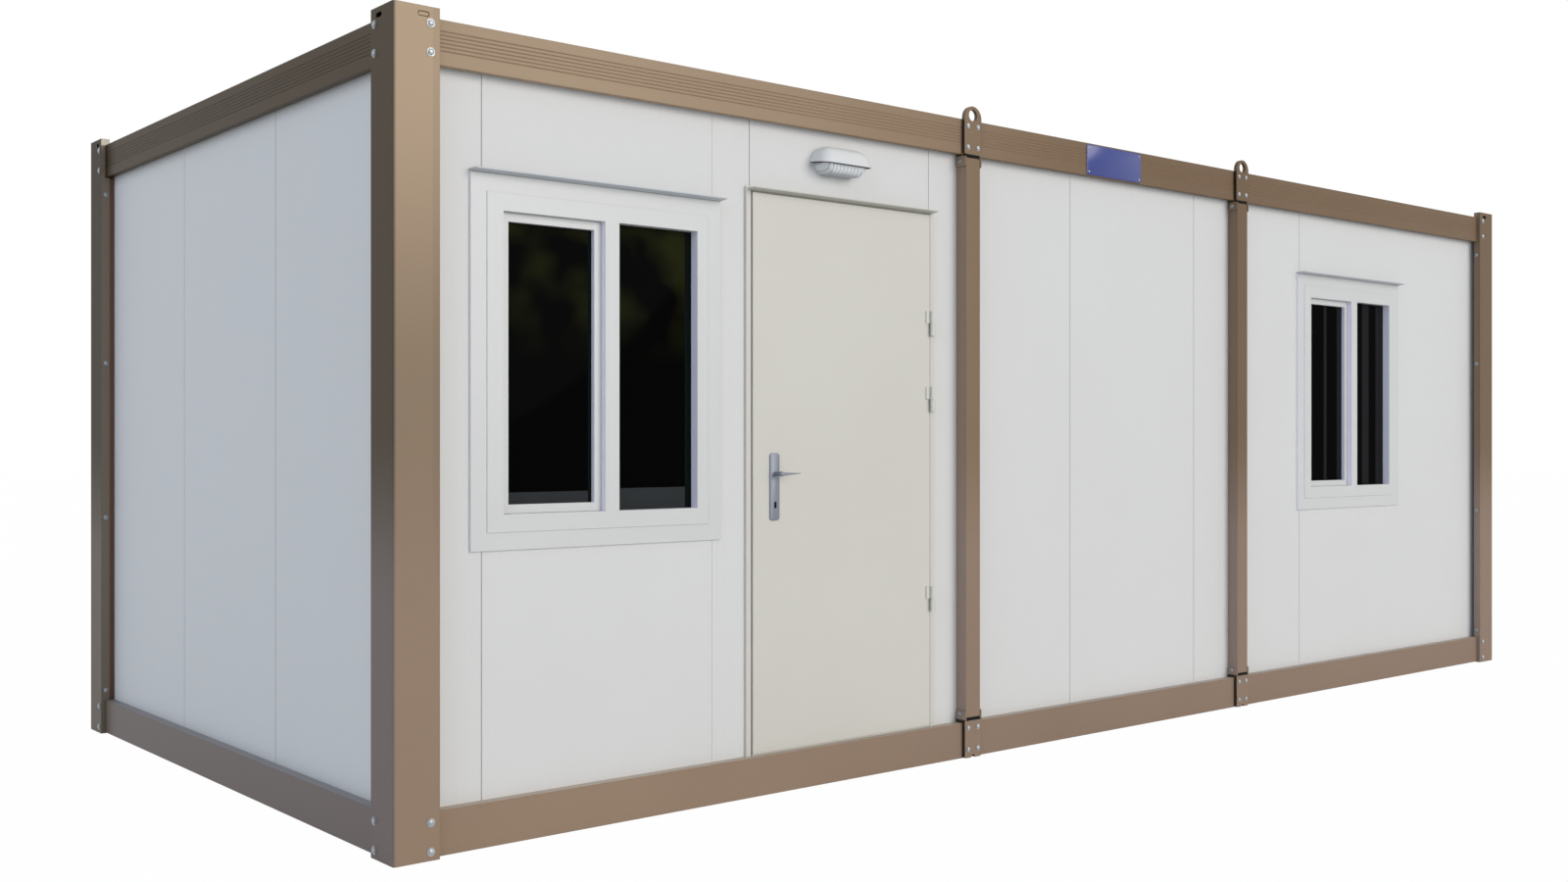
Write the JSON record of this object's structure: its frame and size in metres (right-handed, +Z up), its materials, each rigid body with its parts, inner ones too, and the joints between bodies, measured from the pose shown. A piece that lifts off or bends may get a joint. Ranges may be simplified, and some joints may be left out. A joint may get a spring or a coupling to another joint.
{
  "type": "portable site cabin",
  "caption": "Long flat-roofed site cabin: bolted steel frame, sandwich panel walls, hinged door, windows with a sash and a fixed pane, lifting eyes on the long rails.",
  "frame": {"origin": "on the ground under the middle of the cabin", "axes": "+X along the length, to the right seen from the door side; +Y from the door side to the rear; +Z up"},
  "size_m": [7, 3.029, 2.6519],
  "materials": {
    "frame_paint": "satin brown paint on cold-formed steel",
    "panel_coating": "satin off-white coil coating",
    "window_plastic": "white extruded window plastic",
    "drip_coating": "white coated sheet",
    "door_paint": "satin cream paint on sheet steel",
    "hinge_metal": "painted with the door",
    "handle_metal": "satin stainless steel",
    "window_glass": "dark tinted double glazing",
    "zinc_steel": "galvanised sheet",
    "floor_board": "coated fibre board",
    "ceiling_board": "white faced board",
    "lamp_plastic": "white moulded plastic",
    "lamp_glass": "ribbed clear glass"
  },
  "bodies": {
    "cabin": {"corner_post_front_left": "frame_paint", "corner_post_front_right": "frame_paint", "corner_post_rear_left": "frame_paint", "corner_post_rear_right": "frame_paint", "top_rail_front": "frame_paint", "top_rail_rear": "frame_paint", "top_rail_left": "frame_paint", "top_rail_right": "frame_paint", "base_rail_front": "frame_paint", "base_rail_rear": "frame_paint", "base_rail_left": "frame_paint", "base_rail_right": "frame_paint", "mid_post_front_left": "frame_paint", "mid_post_front_right": "frame_paint", "mid_post_rear_left": "frame_paint", "mid_post_rear_right": "frame_paint", "lifting_plates": "frame_paint", "base_tie_plates": "frame_paint", "post_clips": "frame_paint", "floor_joists": "frame_paint", "front_wall_left": "panel_coating", "front_wall_over_door": "panel_coating", "front_wall_middle": "panel_coating", "front_wall_right": "panel_coating", "left_wall": "panel_coating", "right_wall": "panel_coating", "rear_wall": "panel_coating", "floor_deck": "floor_board", "roof_purlins": "zinc_steel", "roof_sheet": "zinc_steel", "ceiling": "ceiling_board", "door_frame": "door_paint", "hinge_pins": "hinge_metal", "window_frames": "window_plastic", "window_sashes": "window_plastic", "window_glass": "window_glass", "drip_caps": "drip_coating", "lamp_body": "lamp_plastic", "lamp_lens": "lamp_glass"},
    "door": {"door_leaf": "door_paint", "hinge_knuckles": "hinge_metal", "handle_plates": "handle_metal"},
    "handle": {"door_handle": "handle_metal"}
  },
  "joints": [
    {"name": "door_swing", "type": "hinge", "parent": "cabin", "child": "door", "pos_m": [-1.157, -1.469, 1.15], "axis": [0, 0, 1], "range_deg": [0, 160]},
    {"name": "handle_turn", "type": "hinge", "parent": "door", "child": "handle", "pos_m": [-1.97, -1.438, 1.17], "axis": [0, 1, 0], "range_deg": [0, 40], "stiffness_Nm_per_rad": 1.2, "springref_deg": -22.92}
  ]
}
